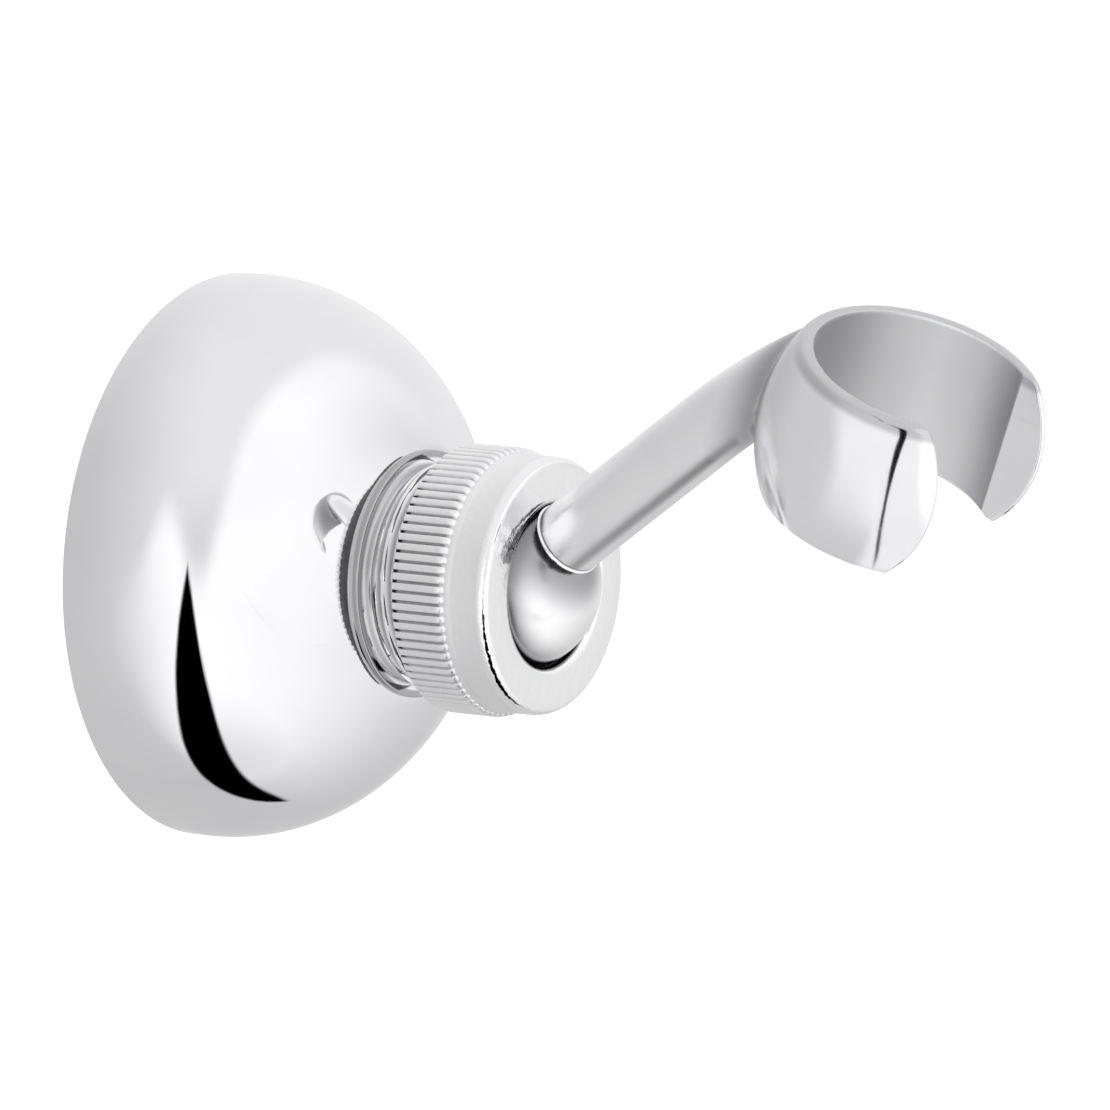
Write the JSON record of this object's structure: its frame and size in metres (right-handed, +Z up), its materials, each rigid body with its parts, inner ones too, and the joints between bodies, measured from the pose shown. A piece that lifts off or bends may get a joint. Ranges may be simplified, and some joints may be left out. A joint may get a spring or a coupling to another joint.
{
  "type": "hand shower wall holder",
  "caption": "Chromed wall holder for a hand shower: domed rose, knurled clamp nut on a ball joint, bent round arm and an open cradle for the hose cone.",
  "frame": {"origin": "centre of the rose's back, on the wall", "axes": "+Z up, -Y straight out from the wall, +X to the right seen from the room"},
  "size_m": [0.068, 0.1116, 0.0708],
  "materials": {
    "chrome": "polished",
    "plate_steel": "satin",
    "seat_plastic": "matte",
    "rubber": "matte"
  },
  "bodies": {
    "base": {"wall_plate": "plate_steel", "wall_rose": "chrome", "socket_body": "chrome", "seat_washer": "rubber"},
    "seat": {"ball_seat": "seat_plastic"},
    "stud": {"ball_stud": "chrome"},
    "arm": {"cradle_arm": "chrome"},
    "ring": {"friction_ring": "seat_plastic"},
    "nut": {"clamp_nut": "chrome"}
  },
  "joints": [
    {"name": "swivel", "type": "hinge", "parent": "base", "child": "seat", "pos_m": [0, -0.0409, 0], "axis": [0, -1, 0], "continuous": true},
    {"name": "tilt", "type": "hinge", "parent": "seat", "child": "stud", "pos_m": [0, -0.0409, 0], "axis": [0.9646, 0, 0.2639], "range_deg": [0, 71]},
    {"name": "twist", "type": "hinge", "parent": "stud", "child": "arm", "pos_m": [0, -0.0409, 0], "axis": [-0.1548, -0.8098, 0.5659], "continuous": true},
    {"name": "nut_slide", "type": "slide", "parent": "base", "child": "ring", "axis": [0, -1, 0], "range_m": [0, 0.0003]},
    {"name": "nut_turn", "type": "hinge", "parent": "ring", "child": "nut", "pos_m": [0, -0.0409, 0], "axis": [0, -1, 0], "range_deg": [0, 72]}
  ],
  "couplings": [
    {"joint": "nut_slide", "follows": "nut_turn", "m_per_rad": 0.00023873}
  ]
}
